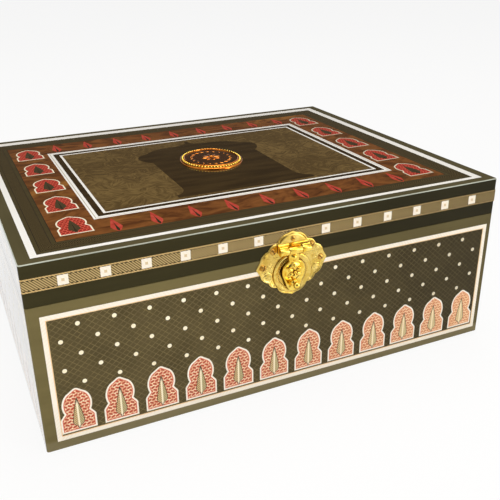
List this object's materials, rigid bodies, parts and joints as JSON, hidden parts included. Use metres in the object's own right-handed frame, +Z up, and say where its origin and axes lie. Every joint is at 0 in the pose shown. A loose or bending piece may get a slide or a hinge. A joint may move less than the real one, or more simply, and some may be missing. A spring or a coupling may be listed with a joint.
{
  "type": "hinged lid box",
  "caption": "Rectangular lacquered wooden box with a hinged lid, inlaid bands, a lined interior, a gilt front hasp and an oval medallion on the lid.",
  "frame": {"origin": "middle of the underside, on the plane that the box stands on", "axes": "+X to the right along the front, +Y from the front to the back, +Z up"},
  "size_m": [0.305, 0.2588, 0.1183],
  "materials": {
    "olive_lacquer": "gloss lacquer",
    "dark_lacquer": "gloss lacquer",
    "plain_wood": "plain",
    "trellis_sheet": "printed veneer under gloss lacquer",
    "tan_band": "inlay under gloss lacquer",
    "lid_sheet": "printed veneer under gloss lacquer",
    "velvet": "velvet",
    "gilt_brass": "polished gilt",
    "dark_enamel": "gloss enamel"
  },
  "bodies": {
    "base": {"base_front_board": "olive_lacquer", "base_back_board": "olive_lacquer", "base_left_board": "olive_lacquer", "base_right_board": "olive_lacquer", "bottom_panel": "plain_wood", "base_front_sheet": "trellis_sheet", "base_back_sheet": "trellis_sheet", "base_left_sheet": "trellis_sheet", "base_right_sheet": "trellis_sheet", "front_lining": "velvet", "back_lining": "velvet", "left_lining": "velvet", "right_lining": "velvet", "floor_lining": "velvet", "hinge_left_base_leaf": "gilt_brass", "hinge_right_base_leaf": "gilt_brass", "hinge_left_pin": "gilt_brass", "hinge_right_pin": "gilt_brass", "hinge_base_screws": "gilt_brass", "hasp_base_plate": "gilt_brass", "hasp_snap_button": "gilt_brass", "hasp_base_screws": "gilt_brass"},
    "lid": {"lid_front_rail": "dark_lacquer", "lid_back_rail": "dark_lacquer", "lid_left_rail": "dark_lacquer", "lid_right_rail": "dark_lacquer", "lid_front_band": "tan_band", "lid_back_band": "tan_band", "lid_left_band": "tan_band", "lid_right_band": "tan_band", "lid_top_panel": "plain_wood", "lid_top_sheet": "lid_sheet", "lid_pad": "velvet", "hinge_left_lid_leaf": "gilt_brass", "hinge_right_lid_leaf": "gilt_brass", "hinge_lid_screws": "gilt_brass", "hasp_lid_plate": "gilt_brass", "hasp_pin": "gilt_brass", "hasp_lid_screws": "gilt_brass", "medallion_frame": "gilt_brass", "medallion_field": "dark_enamel", "medallion_rosette": "gilt_brass", "medallion_pins": "gilt_brass"},
    "hasp_flap": {"hasp_flap": "gilt_brass", "hasp_knob": "gilt_brass"}
  },
  "joints": [
    {"name": "lid_hinge", "type": "hinge", "parent": "base", "child": "lid", "pos_m": [0, 0.12465, 0.09075], "axis": [-1, 0, 0], "range_deg": [0, 100]},
    {"name": "hasp_flap_hinge", "type": "hinge", "parent": "lid", "child": "hasp_flap", "pos_m": [0, -0.12555, 0.095], "axis": [-1, 0, 0], "range_deg": [0, 150]}
  ]
}
